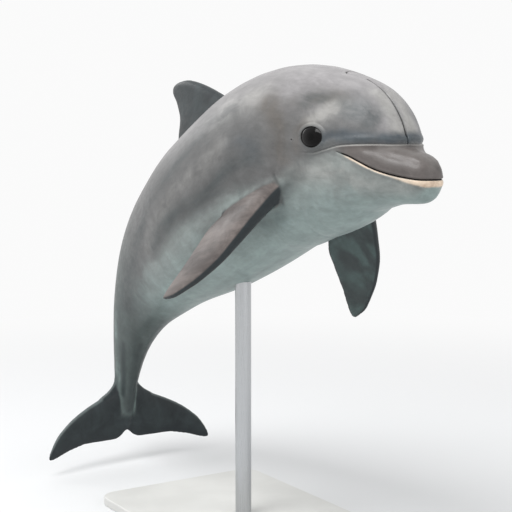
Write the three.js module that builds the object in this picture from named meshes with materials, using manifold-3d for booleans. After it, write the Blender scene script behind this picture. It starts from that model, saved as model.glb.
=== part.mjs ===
// A bottlenose dolphin, life size, leaping: chin level, back arched, tail hanging, held up by a plain stand.
// Millimetres, +Z up. The dolphin heads along +X, its left side is +Y, and XZ is its plane of symmetry.
// The origin is the middle of the stand's underside, below the centre of mass.
//
// A place on the animal is given as (at, side, up): at is the distance behind the tip of the upper jaw,
// measured along the spine line, side is to its left, and up is square to the spine, towards its back.

import * as THREE from 'three';
import { mergeVertices } from 'three/addons/utils/BufferGeometryUtils.js';
import Module from 'manifold-3d';

const wasm = await Module();
wasm.setup();

const GAP = 0.3; // between neighbours that touch
const DEGREE = Math.PI / 180;

// ---------------------------------------------------------------- driving sizes: the animal

const LENGTH = 2370; // tip of the upper jaw to the notch of the flukes, along the spine line

// Where the tip of the upper jaw is in the room: high enough for the tail to hang clear of base and floor.
const NOSE = { ahead: 930, height: 1190 };

// How far the spine points nose-up at each distance, in degrees.
const PITCH = [[0, -6], [390, -6], [830, 25], [1225, 24], [1665, 44], [2105, 77], [2500, 111]];

// The body without its beak: height of the back and depth of the belly from the spine line, half width,
// and how full the section is (2 is an ellipse, less is keeled).
const BODY = [
  { at: 110, back: 162, belly: 86, half: 127, full: 2.1 },
  { at: 245, back: 187, belly: 176, half: 142, full: 2.1 },
  { at: 330, back: 203, belly: 222, half: 155, full: 2.1 },
  { at: 410, back: 216, belly: 258, half: 171, full: 2.1 },
  { at: 610, back: 238, belly: 298, half: 211, full: 2.1 },
  { at: 860, back: 254, belly: 300, half: 236, full: 2.05 },
  { at: 1100, back: 246, belly: 292, half: 234, full: 2.0 },
  { at: 1350, back: 210, belly: 266, half: 198, full: 1.95 },
  { at: 1590, back: 166, belly: 230, half: 150, full: 1.9 },
  { at: 1840, back: 116, belly: 156, half: 96, full: 1.8 },
  { at: 2040, back: 80, belly: 96, half: 58, full: 1.75 },
  { at: 2200, back: 50, belly: 54, half: 37, full: 1.8 },
  { at: 2300, back: 28, belly: 29, half: 26, full: 1.9 },
  { at: 2365, back: 14, belly: 14, half: 16, full: 2.0 },
];
const TAIL_END = 2362; // the stock fades out between the flukes here
const TAIL_ROUND = 60; // length of its rounded end

// The melon closes over the beak like a blunt dome, full size at MELON_FULL.
const MELON_FRONT = 110;
const MELON_FULL = 306;
const MELON_LEVEL = 3; // height at which its front closes
const MELON_ROUND = 2.1; // 2 is a quarter ellipse, more is blunter

// The beak and the jaws behind it: top, underside, half width, and how full the upper half is. Behind the
// tip its top runs on into the head, so that only its flanks show below the melon, as the upper jaw.
const BEAK = [
  { at: 0, top: -24, under: -54, half: 10, full: 2 },
  { at: 7, top: 2, under: -82, half: 30, full: 2 },
  { at: 25, top: 19, under: -98, half: 48, full: 2 },
  { at: 54, top: 28, under: -105, half: 60, full: 2.1 },
  { at: 98, top: 30, under: -112, half: 79, full: 2.3 },
  { at: 130, top: 41, under: -119, half: 94, full: 2.5 },
  { at: 172, top: 58, under: -133, half: 113, full: 2.8 },
  { at: 215, top: 66, under: -149, half: 129, full: 3 },
  { at: 245, top: 64, under: -160, half: 138, full: 3 },
  { at: 290, top: 52, under: -168, half: 141, full: 2.8 },
  { at: 330, top: 40, under: -178, half: 138, full: 2.5 },
];
const BEAK_END = 330; // where it has sunk into the head

// The line of the mouth, seen from the side: level along the beak, then rising to the corner in a smile.
const MOUTH = [[0, -34], [61, -34], [121, -27], [184, -8], [215, 3], [251, 10]];
const MOUTH_CORNER = 251;
const JAW_SLANT = 80; // how far the jaw's hinge end runs back below the corner
const LIP_GROOVE = 3; // radius of the groove between the lips

// The crease between the melon and the upper jaw, from the middle of the brow back below the eye.
const CREASE = [
  [116, 44],
  [119, 44],
  [129, 43],
  [145, 42],
  [186, 37],
  [238, 28],
  [284, 12],
  [334, -4],
  [380, -8],
];
const CREASE_GROOVE = { radius: 4, sunk: 1 };

// Where the body is divided.
const NECK = 416;
const WAIST = 895;
const LOINS = 1470;
const PEDUNCLE = 1960;

// The eye: a flattened ball sunk so that its opening shows, longer than tall by stretch, in a fold of skin.
const EYE = { at: 336, up: 38, radius: 30.5, depth: 13, opening: 28, stretch: 1.4, proud: 1.5 };
const LIDS = { wider: 3, radius: 5, sunk: 1.5 };
const EAR = { at: 410, up: 22, radius: 4 };

// The blowhole is a crescent slit on top of the head, and the furrow runs down the middle of the melon.
const BLOWHOLE = { at: 372, radius: 22, groove: 4.5, sunk: 1, sweep: 200 };
const FURROW = { from: 118, to: 330, groove: 7, depth: 6 };

// Flippers: where the middle of the root lies, and which way each blade hangs, in degrees: out from the
// body, back towards the tail, and how far its leading edge is turned down and in.
const FLIPPER = { at: 521, down: 132, span: 489 };
const FLIPPER_HANG = {
  left: { side: 146, out: 17, back: 26, twist: -26 },
  right: { side: 165, out: 29, back: 42, twist: -1 },
};

// Plans of the fins: share of the span, leading edge ahead of and trailing edge behind the straight line
// that the span runs along, and thickness. A negative share is sunk in the body.
const FLIPPER_PLAN = [
  { t: -0.22, lead: 30, trail: 60, thick: 42 },
  { t: 0, lead: 46, trail: 78, thick: 46 },
  { t: 0.15, lead: 56, trail: 87, thick: 43 },
  { t: 0.32, lead: 73, trail: 89, thick: 37 },
  { t: 0.5, lead: 86, trail: 87, thick: 30 },
  { t: 0.65, lead: 82, trail: 60, thick: 24 },
  { t: 0.8, lead: 67, trail: 29, thick: 17 },
  { t: 0.9, lead: 53, trail: 13, thick: 13 },
  { t: 1, lead: 30, trail: 2, thick: 9 },
];

// The fin on the back.
const DORSAL = { at: 1080, span: 230 };
const DORSAL_PLAN = [
  { t: -0.16, lead: 235, trail: 250, thick: 62 },
  { t: 0, lead: 196, trail: 228, thick: 56 },
  { t: 0.25, lead: 132, trail: 196, thick: 46 },
  { t: 0.52, lead: 62, trail: 158, thick: 37 },
  { t: 0.72, lead: 3, trail: 160, thick: 30 },
  { t: 0.88, lead: -54, trail: 172, thick: 22 },
  { t: 1, lead: -112, trail: 184, thick: 14 },
];

// Flukes: each from the middle of the tail out to its tip. cup is how far the tips bend towards the belly.
const FLUKE = { at: 2285, span: 340, cup: 40 };
const FLUKE_PLAN = [
  { t: 0, lead: 130, trail: 84, thick: 36 },
  { t: 0.08, lead: 98, trail: 106, thick: 33 },
  { t: 0.17, lead: 74, trail: 116, thick: 30 },
  { t: 0.29, lead: 51, trail: 116, thick: 27 },
  { t: 0.49, lead: 21, trail: 114, thick: 22 },
  { t: 0.67, lead: -12, trail: 124, thick: 18 },
  { t: 0.85, lead: -60, trail: 142, thick: 13 },
  { t: 1, lead: -122, trail: 164, thick: 8 },
];
const TIP_ROUND = { share: 0.14, power: 2.2 }; // share of a fin's length over which its tip closes
const FIN_NOSE = 0.35; // how much fatter a fin is near its leading edge than half way

// ---------------------------------------------------------------- driving sizes: the stand

const BASE = { length: 900, width: 620, thick: 28, corner: 60, bevel: 4 };
const ROD = { radius: 26, tall: 900 }; // tall: well into the belly, which then cuts it off

// ---------------------------------------------------------------- how finely round things are cut

const BODY_SIDES = 36;
const BODY_STEP = 62; // between the body's rings, at most
const MELON_RINGS = { count: 9, crowding: 1.9 }; // crowded towards the front
const TAIL_RINGS = [30, 12, 3]; // ahead of the end of the stock
const BEAK_SIDES = 32;
const BEAK_RINGS = [0, 3, 8, 16, 30, 54, 80, 110, 140, 170, 200, 230, 265, 300, BEAK_END];
const FIN_SIDES = 20;
const FIN_RINGS = { count: 14, crowding: 1.5 }; // crowded towards the tip
const LIP_POINTS = { count: 12, crowding: 1.6 }; // on each side, crowded towards the tip of the beak
const MOUTH_STEP = 18;
const FURROW_STEP = 20;
const BLOWHOLE_POINTS = 9;

// ---------------------------------------------------------------- materials

const finish = (color, roughness, metalness = 0) =>
  new THREE.MeshStandardMaterial({ color, roughness, metalness });
const SKIN = finish(0x8b8e90, 0.45);
const PALE_SKIN = finish(0xa9b3b1, 0.45);
const FIN_SKIN = finish(0x4d5557, 0.45);
const EYE_BLACK = finish(0x141414, 0.08);
const BASE_PAINT = finish(0xd9d8d4, 0.55);
const STEEL = finish(0xb8babc, 0.3, 1);

// ---------------------------------------------------------------- curves and places

/** A smooth curve through [at, value] pairs that never swings past them. */
function curve(points) {
  const last = points.length - 1;
  const step = (i) => points[i + 1][0] - points[i][0];
  const slope = (i) => (points[i + 1][1] - points[i][1]) / step(i);
  const tangents = points.map((_, i) => {
    if (i === 0) return slope(0);
    if (i === last) return slope(last - 1);
    const [before, after] = [slope(i - 1), slope(i)];
    if (before * after <= 0) return 0;
    const [a, b] = [2 * step(i) + step(i - 1), step(i) + 2 * step(i - 1)];
    return (a + b) / (a / before + b / after);
  });
  return (at) => {
    const x = Math.min(Math.max(at, points[0][0]), points[last][0]);
    let i = 0;
    while (i < last - 1 && x > points[i + 1][0]) i += 1;
    const h = step(i);
    const t = (x - points[i][0]) / h;
    const ends = (1 + 2 * t) * (1 - t) ** 2 * points[i][1] + t * t * (3 - 2 * t) * points[i + 1][1];
    return ends + h * (t * (1 - t) ** 2 * tangents[i] - t * t * (1 - t) * tangents[i + 1]);
  };
}

/** One measure of a table of stations, as a smooth curve over another. */
const measure = (table, name, over = 'at') => curve(table.map((row) => [row[over], row[name]]));

/** How far a blunt rounded end has opened at share t of its depth. */
const roundEnd = (t, power = 2) => (1 - (1 - Math.min(Math.max(t, 0), 1)) ** power) ** (1 / power);

/** A cosine or sine pulled out towards the corners of its box, or in from them. */
const filled = (value, fullness) => Math.sign(value) * Math.abs(value) ** (2 / fullness);

/** Distances from one end of a stretch to the other in even steps. */
function steps(from, to, step) {
  const count = Math.ceil((to - from) / step);
  return Array.from({ length: count + 1 }, (_, i) => from + ((to - from) * i) / count);
}

const SPINE_STEP = 5;
const pitchAt = curve(PITCH);
const spineLine = [new THREE.Vector3(NOSE.ahead, 0, NOSE.height)];
for (let at = 0; at < LENGTH; at += SPINE_STEP) {
  const pitch = pitchAt(at + SPINE_STEP / 2) * DEGREE;
  const ahead = new THREE.Vector3(Math.cos(pitch), 0, Math.sin(pitch));
  spineLine.push(spineLine.at(-1).clone().addScaledVector(ahead, -SPINE_STEP));
}

/** The spine line at a distance behind the tip of the jaw: its point, and which way is ahead and up there. */
function spine(at) {
  const along = Math.min(Math.max(at / SPINE_STEP, 0), spineLine.length - 1.001);
  const i = Math.floor(along);
  const pitch = pitchAt(at) * DEGREE;
  return {
    point: spineLine[i].clone().lerp(spineLine[i + 1], along - i),
    ahead: new THREE.Vector3(Math.cos(pitch), 0, Math.sin(pitch)),
    up: new THREE.Vector3(-Math.sin(pitch), 0, Math.cos(pitch)),
  };
}

const LEFT = new THREE.Vector3(0, 1, 0);

/** The point of space at a place on the animal. */
function place(at, side, up) {
  const here = spine(at);
  return here.point.addScaledVector(LEFT, side).addScaledVector(here.up, up);
}

// ---------------------------------------------------------------- solids

/** A geometry's surface as a solid for joining and cutting. */
function solid(geometry) {
  const bare = geometry.clone();
  bare.deleteAttribute('normal');
  bare.deleteAttribute('uv');
  const { attributes, index } = mergeVertices(bare, 1e-3);
  return new wasm.Manifold(
    new wasm.Mesh({
      numProp: 3,
      vertProperties: new Float32Array(attributes.position.array),
      triVerts: new Uint32Array(index.array),
    }),
  );
}

/** A solid's surface as a geometry. */
function geometryOf(body) {
  const { vertProperties, triVerts } = body.getMesh();
  const geometry = new THREE.BufferGeometry();
  geometry.setAttribute('position', new THREE.BufferAttribute(vertProperties, 3));
  geometry.setIndex(new THREE.BufferAttribute(triVerts, 1));
  return geometry;
}

/** The closed surfaces of a solid, largest first. */
const pieces = (body) => body.decompose().sort((a, b) => b.volume() - a.volume());
const largest = (body) => pieces(body)[0];

const mirrored = (body) => body.mirror([0, 1, 0]);
const bothSides = (body) => body.add(mirrored(body));

/**
 * A closed skin over rings of points. point(ring, angle) gives a point of a ring, with the angle running
 * from the left over the back, and the first and last rings have shrunk to one point each.
 */
function loft(rings, sides, point) {
  const geometry = new THREE.SphereGeometry(1, sides, rings.length - 1);
  const vertices = geometry.attributes.position;
  for (let i = 0; i < vertices.count; i += 1) {
    const ring = rings[Math.floor(i / (sides + 1))];
    const share = ((i % (sides + 1)) % sides) / sides;
    vertices.setXYZ(i, ...point(ring, 2 * Math.PI * share));
  }
  return solid(geometry);
}

/** A round bar with twice as many flats as halves, along a smooth line through points. */
function bar(points, radius, halves = 5) {
  const outline = new THREE.Shape().absarc(0, 0, radius, 0, 2 * Math.PI);
  const geometry = new THREE.ExtrudeGeometry(outline, {
    steps: 2 * (points.length - 1),
    curveSegments: halves,
    extrudePath: new THREE.CatmullRomCurve3(points),
  });
  return solid(geometry);
}

/** A flat outline in the plane of symmetry, given width to both sides of it. */
function slab(points, width) {
  const outline = new THREE.Shape(points.map(({ x, z }) => new THREE.Vector2(x, z)));
  const geometry = new THREE.ExtrudeGeometry(outline, { depth: width, bevelEnabled: false });
  return solid(geometry.translate(0, 0, -width / 2).rotateX(Math.PI / 2));
}

// ---------------------------------------------------------------- body

const body = {
  back: measure(BODY, 'back'),
  belly: measure(BODY, 'belly'),
  half: measure(BODY, 'half'),
  full: measure(BODY, 'full'),
};

/** The body's section at a distance: the level it closes on, its reach up, down and sideways, its fill. */
function section(at) {
  const melon = roundEnd((at - MELON_FRONT) / (MELON_FULL - MELON_FRONT), MELON_ROUND);
  const tail = roundEnd((TAIL_END - at) / TAIL_ROUND);
  const size = melon * tail;
  const level = at < MELON_FULL ? MELON_LEVEL * (1 - melon) : 0;
  return {
    level,
    up: (body.back(at) - level) * size,
    down: (body.belly(at) + level) * size,
    half: body.half(at) * size,
    full: body.full(at),
  };
}

/** A point of the body's surface, or of a copy that is larger all round by grow. */
function bodyPoint(at, angle, grow = 0, size = 1) {
  const { level, up, down, half, full } = section(at);
  const side = filled(Math.cos(angle), full) * (half + grow);
  const rise = filled(Math.sin(angle), full);
  return place(at, side * size, level + rise * ((rise > 0 ? up : down) + grow) * size);
}

/** The distances of the body's rings between two cuts, the same whether or not it is parted at its seams. */
function ringsBetween(from, to) {
  const seams = [NECK, WAIST, LOINS, PEDUNCLE].filter((seam) => seam > from + GAP && seam < to - GAP);
  const cuts = [from, ...seams, to];
  return [from, ...seams.concat(to).flatMap((cut, i) => steps(cuts[i], cut, BODY_STEP).slice(1))];
}

/** A length of the body with flat ends, except where it closes in the melon or between the flukes. */
function bodyLength(from, to, grow = 0) {
  const melon = [{ at: MELON_FRONT - grow, size: 0 }];
  for (let i = 1; i < MELON_RINGS.count; i += 1) {
    const share = (i / MELON_RINGS.count) ** MELON_RINGS.crowding;
    melon.push({ at: MELON_FRONT + (MELON_FULL - MELON_FRONT) * share });
  }
  const tail = [...TAIL_RINGS.map((ahead) => ({ at: TAIL_END - ahead })), { at: TAIL_END + grow, size: 0 }];
  const middle = ringsBetween(Math.max(from, MELON_FULL), Math.min(to, TAIL_END - TAIL_ROUND));
  const rings = [
    ...(from < MELON_FULL ? melon : [{ at: from, size: 0 }]),
    ...middle.map((at) => ({ at })),
    ...(to > TAIL_END - TAIL_ROUND ? tail : [{ at: to, size: 0 }]),
  ];
  return loft(rings, BODY_SIDES, ({ at, size }, angle) => bodyPoint(at, angle, grow, size));
}

// ---------------------------------------------------------------- jaws

const beak = {
  top: measure(BEAK, 'top'),
  under: measure(BEAK, 'under'),
  half: measure(BEAK, 'half'),
  full: measure(BEAK, 'full'),
};

/** The beak's section at a distance: its middle height, its reach up and down from there, its half width. */
function beakSection(at) {
  const [top, under] = [beak.top(at), beak.under(at)];
  return { middle: (top + under) / 2, reach: (top - under) / 2, half: beak.half(at), full: beak.full(at) };
}

/** A point of the beak's surface. Its underside is an ellipse, and its upper half is boxier. */
function beakPoint(at, angle, size = 1) {
  const { middle, reach, half, full } = beakSection(at);
  const fullness = Math.sin(angle) > 0 ? full : 2;
  const side = filled(Math.cos(angle), fullness) * half;
  return place(at, side * size, middle + filled(Math.sin(angle), fullness) * reach * size);
}

function beakAndJaws() {
  const rings = [{ at: 0, size: 0 }, ...BEAK_RINGS.map((at) => ({ at })), { at: BEAK_END, size: 0 }];
  return loft(rings, BEAK_SIDES, ({ at, size }, angle) => beakPoint(at, angle, size));
}

const mouthAt = curve(MOUTH);

/** How far a section of given half width stands out at a share of its reach up or down. */
const outAt = (half, share, full) => half * Math.max(0, 1 - Math.abs(share) ** full) ** (1 / full);

/** How far the skin stands out sideways at a height: of the beak, or of the head where that is wider. */
function cheek(at, height) {
  const head = section(at);
  const jaw = beakSection(at);
  const rise = (height - head.level) / (height > head.level ? head.up : head.down);
  const share = (height - jaw.middle) / jaw.reach;
  return Math.max(
    at < BEAK_END ? outAt(jaw.half, share, share > 0 ? jaw.full : 2) : 0,
    outAt(head.half, rise, head.full),
  );
}

/** Where the lips meet: 0 is the tip of the beak, 1 the corner of the mouth. */
function lipPoint(share, side) {
  const at = share ** LIP_POINTS.crowding * MOUTH_CORNER;
  return place(at, side * cheek(at, mouthAt(at)), mouthAt(at));
}

/** The groove between the lips, from one corner of the mouth round the tip of the beak to the other. */
function lipGroove() {
  const shares = Array.from({ length: LIP_POINTS.count }, (_, i) => (i + 1) / LIP_POINTS.count);
  const left = shares.map((share) => lipPoint(share, 1)).reverse();
  const right = shares.map((share) => lipPoint(share, -1));
  return bar([...left, lipPoint(0, 1), ...right], LIP_GROOVE, 4);
}

/** The crease on the left, from the middle of the brow until it runs out of the skin below the eye. */
function crease() {
  const points = CREASE.map(([at, height], i) => {
    const inward = i === CREASE.length - 1 ? -CREASE_GROOVE.radius : CREASE_GROOVE.sunk;
    return place(at, i > 0 ? cheek(at, height) - inward : 0, height);
  });
  return bar(points, CREASE_GROOVE.radius, 4);
}

/** The thin cut that frees the lower jaw: along the mouth to its corner, then back through the cheek. */
function mouthCut() {
  const before = place(0, 0, mouthAt(0)).addScaledVector(spine(0).ahead, MOUTH_STEP);
  const line = [before, ...steps(0, MOUTH_CORNER, MOUTH_STEP).map((at) => place(at, 0, mouthAt(at)))];
  const corner = line.at(-1);
  const end = place(MOUTH_CORNER + JAW_SLANT, 0, -1.4 * body.belly(MOUTH_CORNER));
  const moved = (point, x, z) => point.clone().add(new THREE.Vector3(x, 0, z));
  const lips = [...line.map((point) => moved(point, 0, -GAP)), ...[...line].reverse()];
  const hinge = [corner, end, moved(end, -GAP, -GAP), moved(corner, -GAP, 0)];
  const width = 4 * beak.half(MOUTH_CORNER);
  return slab(lips, width).add(slab(hinge, width));
}

// ---------------------------------------------------------------- eyes, ears, blowhole and furrow

/** A shape made around the origin, with +X back, +Y up and +Z out of the skin, put in the left eye. */
function inEye(shape, sunk) {
  const { up, level, full } = section(EYE.at);
  const angle = Math.asin(((EYE.up - level) / up) ** (full / 2));
  const point = bodyPoint(EYE.at, angle);
  const back = bodyPoint(EYE.at + 1, angle).sub(point).normalize();
  const round = bodyPoint(EYE.at, angle + DEGREE).sub(point).normalize();
  const out = new THREE.Vector3().crossVectors(back, round).normalize();
  const above = new THREE.Vector3().crossVectors(out, back);
  const frame = new THREE.Matrix4().makeBasis(back, above, out);
  return solid(shape.applyMatrix4(frame.setPosition(point.addScaledVector(out, -sunk))));
}

/** The left eyeball, or its socket when that is larger all round by grow. */
function eyeball(grow = 0) {
  const shape = new THREE.SphereGeometry(1, 24, 15);
  shape.scale(EYE.radius * EYE.stretch + grow, EYE.radius + grow, EYE.depth + grow);
  const bulge = EYE.depth * Math.sqrt(1 - (EYE.opening / EYE.radius) ** 2);
  return inEye(shape, bulge - EYE.proud);
}

/** The raised fold of the left eye's lids: a ring on the skin, longer than tall. */
function lids() {
  const ring = new THREE.TorusGeometry(EYE.opening + LIDS.wider, LIDS.radius, 8, 28);
  ring.scale(EYE.stretch, 1, 1);
  return inEye(ring, LIDS.sunk);
}

/** The pinhole of the left ear. */
function ear() {
  const centre = place(EAR.at, section(EAR.at).half, EAR.up);
  return solid(new THREE.SphereGeometry(EAR.radius, 8, 6).translate(...centre));
}

function blowhole() {
  const points = Array.from({ length: BLOWHOLE_POINTS }, (_, i) => {
    const turn = (i / (BLOWHOLE_POINTS - 1) - 0.5) * BLOWHOLE.sweep * DEGREE;
    const at = BLOWHOLE.at + BLOWHOLE.radius * Math.cos(turn);
    const side = BLOWHOLE.radius * Math.sin(turn);
    return bodyPoint(at, Math.PI / 2 - side / section(at).half, -BLOWHOLE.sunk);
  });
  return bar(points, BLOWHOLE.groove);
}

/** The furrow, as deep as said until it runs out of the skin at the back. */
function furrow() {
  const points = steps(FURROW.from, FURROW.to, FURROW_STEP).map((at) => {
    const above = at < FURROW.to ? FURROW.groove - FURROW.depth : FURROW.groove;
    return bodyPoint(at, Math.PI / 2, above);
  });
  return bar(points, FURROW.groove);
}

/** The head with its upper jaw, and the lower jaw. */
function headAndJaw() {
  let head = bodyLength(MELON_FRONT, NECK - GAP / 2).add(beakAndJaws()).add(bothSides(lids()));
  for (const hollow of [eyeball(GAP), ear(), crease()]) head = head.subtract(bothSides(hollow));
  for (const hollow of [blowhole(), furrow(), lipGroove(), mouthCut()]) head = head.subtract(hollow);
  return pieces(head);
}

// ---------------------------------------------------------------- fins

/**
 * A fin as a blade. root is the middle of its root, and span and chord are unit directions, towards the tip
 * and towards the leading edge. bend is how far the tip curves off to the side of their plane.
 */
function blade({ root, span, chord, length, plan, bend = 0 }) {
  const across = new THREE.Vector3().crossVectors(chord, span);
  const [lead, trail, thick] = ['lead', 'trail', 'thick'].map((name) => measure(plan, name, 't'));
  const start = plan[0].t;
  const rings = [{ t: start, size: 0 }];
  for (let ring = 0; ring < FIN_RINGS.count; ring += 1) {
    const t = 1 - (1 - start) * (1 - ring / FIN_RINGS.count) ** FIN_RINGS.crowding;
    rings.push({ t, size: roundEnd((1 - t) / TIP_ROUND.share, TIP_ROUND.power) });
  }
  rings.push({ t: 1, size: 0 });
  return loft(rings, FIN_SIDES, ({ t, size }, angle) => {
    const middle = (lead(t) - trail(t)) / 2;
    const half = (lead(t) + trail(t)) / 2;
    const fatter = 1 + FIN_NOSE * Math.cos(angle);
    return root.clone()
      .addScaledVector(span, t * length)
      .addScaledVector(chord, middle + half * size * Math.cos(angle))
      .addScaledVector(across, (thick(t) / 2) * size * fatter * Math.sin(angle) + bend * t * t);
  });
}

function flipper(hang, side) {
  const { ahead, up } = spine(FLIPPER.at);
  const outward = LEFT.clone().multiplyScalar(side);
  const [out, back, twist] = [hang.out, hang.back, hang.twist].map((angle) => angle * DEGREE);
  const down = up.clone().multiplyScalar(-Math.cos(out)).addScaledVector(outward, Math.sin(out));
  const span = down.clone().multiplyScalar(Math.cos(back)).addScaledVector(ahead, -Math.sin(back));
  const level = ahead.clone().multiplyScalar(Math.cos(back)).addScaledVector(down, Math.sin(back));
  return blade({
    root: place(FLIPPER.at, side * hang.side, -FLIPPER.down),
    span,
    chord: level.applyAxisAngle(span, side * twist),
    length: FLIPPER.span,
    plan: FLIPPER_PLAN,
  });
}

function dorsalFin() {
  const { ahead, up } = spine(DORSAL.at);
  return blade({
    root: place(DORSAL.at, 0, body.back(DORSAL.at)),
    span: up,
    chord: ahead,
    length: DORSAL.span,
    plan: DORSAL_PLAN,
  });
}

function leftFluke() {
  return blade({
    root: place(FLUKE.at, 0, 0),
    span: LEFT,
    chord: spine(FLUKE.at).ahead,
    length: FLUKE.span,
    plan: FLUKE_PLAN,
    bend: -FLUKE.cup,
  });
}

// ---------------------------------------------------------------- stand

function standBase() {
  const outline = new THREE.Shape();
  const [x, y] = [BASE.length / 2 - BASE.corner, BASE.width / 2 - BASE.corner];
  const corners = [[x, y], [-x, y], [-x, -y], [x, -y]];
  corners.forEach(([middleX, middleY], quarter) => {
    const turned = (quarter * Math.PI) / 2;
    outline.absarc(middleX, middleY, BASE.corner - BASE.bevel, turned, turned + Math.PI / 2);
  });
  const geometry = new THREE.ExtrudeGeometry(outline, {
    depth: BASE.thick - 2 * BASE.bevel,
    bevelThickness: BASE.bevel,
    bevelSize: BASE.bevel,
    bevelSegments: 2,
    curveSegments: 8,
  });
  return solid(geometry.translate(0, 0, BASE.bevel));
}

function standRod() {
  const rod = new THREE.CylinderGeometry(ROD.radius, ROD.radius, ROD.tall, 40).rotateX(Math.PI / 2);
  return solid(rod.translate(0, 0, BASE.thick + GAP + ROD.tall / 2));
}

// ---------------------------------------------------------------- the model

const model = new THREE.Group();

function addNode(name, shape, material) {
  const mesh = new THREE.Mesh(geometryOf(shape), material);
  mesh.name = name;
  model.add(mesh);
}

const [head, lowerJaw] = headAndJaw();
addNode('head', head, SKIN);
addNode('lower_jaw', lowerJaw, PALE_SKIN);
addNode('torso_front', bodyLength(NECK + GAP / 2, WAIST - GAP / 2), SKIN);
addNode('torso_rear', bodyLength(WAIST + GAP / 2, LOINS - GAP / 2), SKIN);
addNode('tail_stock_upper', bodyLength(LOINS + GAP / 2, PEDUNCLE - GAP / 2), SKIN);
addNode('tail_stock_lower', bodyLength(PEDUNCLE + GAP / 2, TAIL_END), SKIN);

const bodyRoom = bodyLength(MELON_FRONT, TAIL_END, GAP);
const clearOfBody = (shape) => largest(shape.subtract(bodyRoom));
addNode('dorsal_fin', clearOfBody(dorsalFin()), FIN_SKIN);
addNode('flipper_left', clearOfBody(flipper(FLIPPER_HANG.left, 1)), FIN_SKIN);
addNode('flipper_right', clearOfBody(flipper(FLIPPER_HANG.right, -1)), FIN_SKIN);

const fluke = clearOfBody(leftFluke());
addNode('fluke_left', fluke, FIN_SKIN);
addNode('fluke_right', mirrored(fluke), FIN_SKIN);
addNode('eye_left', eyeball(), EYE_BLACK);
addNode('eye_right', mirrored(eyeball()), EYE_BLACK);

addNode('stand_base', standBase(), BASE_PAINT);
addNode('stand_rod', clearOfBody(standRod()), STEEL);

export default model;
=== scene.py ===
import bpy
import numpy as np
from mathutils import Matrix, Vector
from mathutils.bvhtree import BVHTree


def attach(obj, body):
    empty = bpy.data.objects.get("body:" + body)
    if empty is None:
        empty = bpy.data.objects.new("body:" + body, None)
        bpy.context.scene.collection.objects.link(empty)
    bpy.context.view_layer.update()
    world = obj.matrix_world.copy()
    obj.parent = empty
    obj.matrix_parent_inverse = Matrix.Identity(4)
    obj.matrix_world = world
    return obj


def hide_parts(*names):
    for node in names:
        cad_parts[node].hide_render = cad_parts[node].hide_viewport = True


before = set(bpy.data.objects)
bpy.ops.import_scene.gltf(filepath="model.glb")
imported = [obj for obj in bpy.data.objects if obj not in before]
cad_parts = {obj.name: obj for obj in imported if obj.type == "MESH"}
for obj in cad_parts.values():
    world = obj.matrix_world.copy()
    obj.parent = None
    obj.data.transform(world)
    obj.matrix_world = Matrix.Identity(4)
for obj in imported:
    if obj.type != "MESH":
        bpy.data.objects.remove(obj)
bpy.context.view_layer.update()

# A leaping bottlenose dolphin in one seamless skin, on a plain display stand. Metres, +Z up, heading
# along +X. As in the solids, a place on the animal is (at, side, up): the distance behind the tip of the
# upper jaw along the spine line, the distance to the left, and the height square to the spine.

MM = 0.001
TRUNK = ["head", "lower_jaw", "torso_front", "torso_rear", "tail_stock_upper", "tail_stock_lower"]
FINS = ["dorsal_fin", "flipper_left", "flipper_right", "fluke_left", "fluke_right"]
EYES = ["eye_left", "eye_right"]

# ---------------------------------------------------------------- the spine line

NOSE = (930 * MM, 1190 * MM)  # how far ahead and how high the tip of the upper jaw is
PITCH = [(0, -6), (390, -6), (830, 25), (1225, 24), (1665, 44), (2105, 77), (2500, 111)]
SPINE_STEP = 10 * MM
SPINE_LENGTH = 2.4
PLACES_CHUNK = 20000  # points that are measured at a time, to save memory
LINE_CHUNK = 2000  # the same where each is measured against a long line


def smooth_curve(points):
    """A curve through points that never swings past them, as a function of arrays."""
    x, y = np.array(points, float).T
    step = np.diff(x)
    slope = np.diff(y) / step
    tangent = np.zeros(len(x))
    tangent[0], tangent[-1] = slope[0], slope[-1]
    for i in range(1, len(x) - 1):
        if slope[i - 1] * slope[i] > 0:
            a, b = 2 * step[i] + step[i - 1], step[i] + 2 * step[i - 1]
            tangent[i] = (a + b) / (a / slope[i - 1] + b / slope[i])

    def value(at):
        at = np.clip(at, x[0], x[-1])
        i = np.clip(np.searchsorted(x, at) - 1, 0, len(x) - 2)
        t = (at - x[i]) / step[i]
        ends = (1 + 2 * t) * (1 - t) ** 2 * y[i] + t * t * (3 - 2 * t) * y[i + 1]
        return ends + step[i] * (t * (1 - t) ** 2 * tangent[i] - t * t * (1 - t) * tangent[i + 1])

    return value


pitch_at = smooth_curve([(at * MM, np.radians(turn)) for at, turn in PITCH])
spine_at = np.arange(0, SPINE_LENGTH, SPINE_STEP)
spine_turn = pitch_at(spine_at[:-1] + SPINE_STEP / 2)
spine_x = NOSE[0] - np.concatenate([[0], np.cumsum(np.cos(spine_turn))]) * SPINE_STEP
spine_z = NOSE[1] - np.concatenate([[0], np.cumsum(np.sin(spine_turn))]) * SPINE_STEP


def place(at, side, up):
    """The point of space at a place on the animal."""
    turn = float(pitch_at(at))
    x = np.interp(at, spine_at, spine_x) - up * np.sin(turn)
    z = np.interp(at, spine_at, spine_z) + up * np.cos(turn)
    return Vector((x, side, z))


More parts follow.
